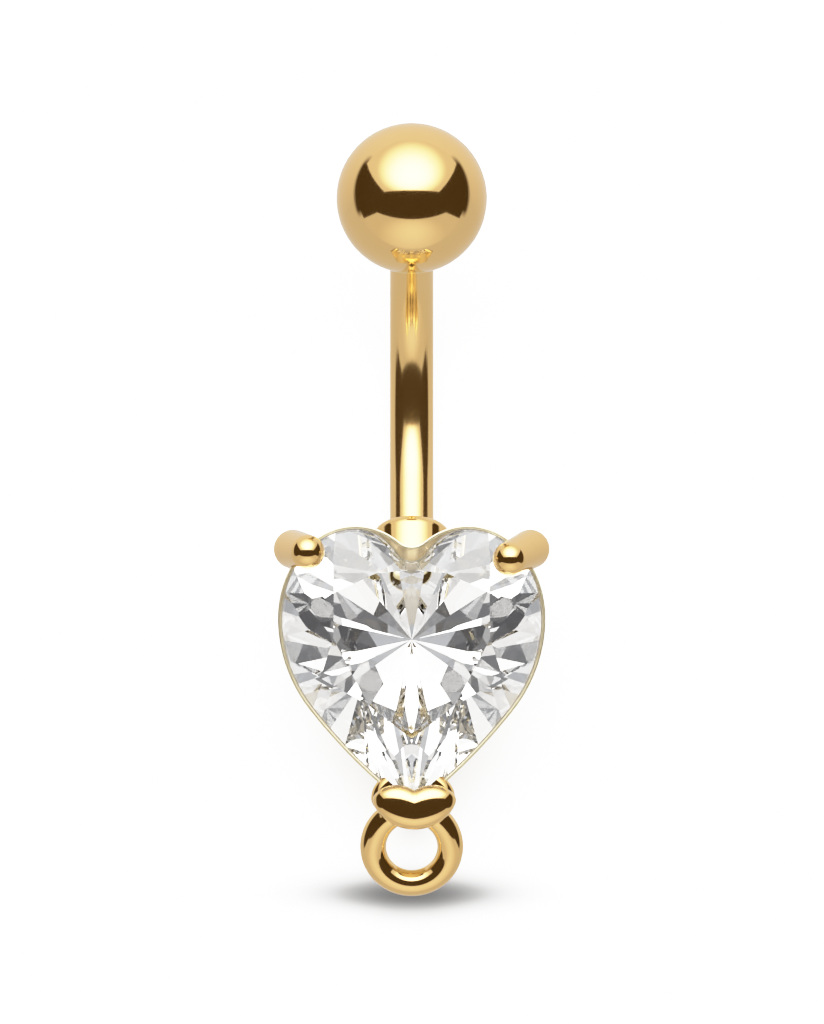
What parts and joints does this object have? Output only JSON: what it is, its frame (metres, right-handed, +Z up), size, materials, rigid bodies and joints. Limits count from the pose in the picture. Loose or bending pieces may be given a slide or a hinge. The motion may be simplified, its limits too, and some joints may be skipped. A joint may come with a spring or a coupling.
{
  "type": "navel ring",
  "caption": "Gold-coloured curved navel ring with a screw-on ball, a claw-set heart-cut clear stone and a charm loop at its tip.",
  "frame": {"origin": "middle of the part's box, on the plane that the ring rests on when it lies on its back", "axes": "+X across the heart, to the right when the stone is seen from the front; +Y from the charm loop up to the ball; +Z up, out of the stone's face, which leans 8.8 degrees towards the charm loop"},
  "size_m": [0.01, 0.0278, 0.0099],
  "materials": {
    "gold_polish": "polished",
    "clear_stone": "polished"
  },
  "bodies": {
    "ring": {"curved_bar": "gold_polish", "setting": "gold_polish", "heart_stone": "clear_stone"},
    "ball": {"top_ball": "gold_polish"}
  },
  "joints": [
    {"name": "ball_unscrew", "type": "slide", "parent": "ring", "child": "ball", "axis": [0, 0.5177, 0.8555], "range_m": [0, 0.003]}
  ]
}
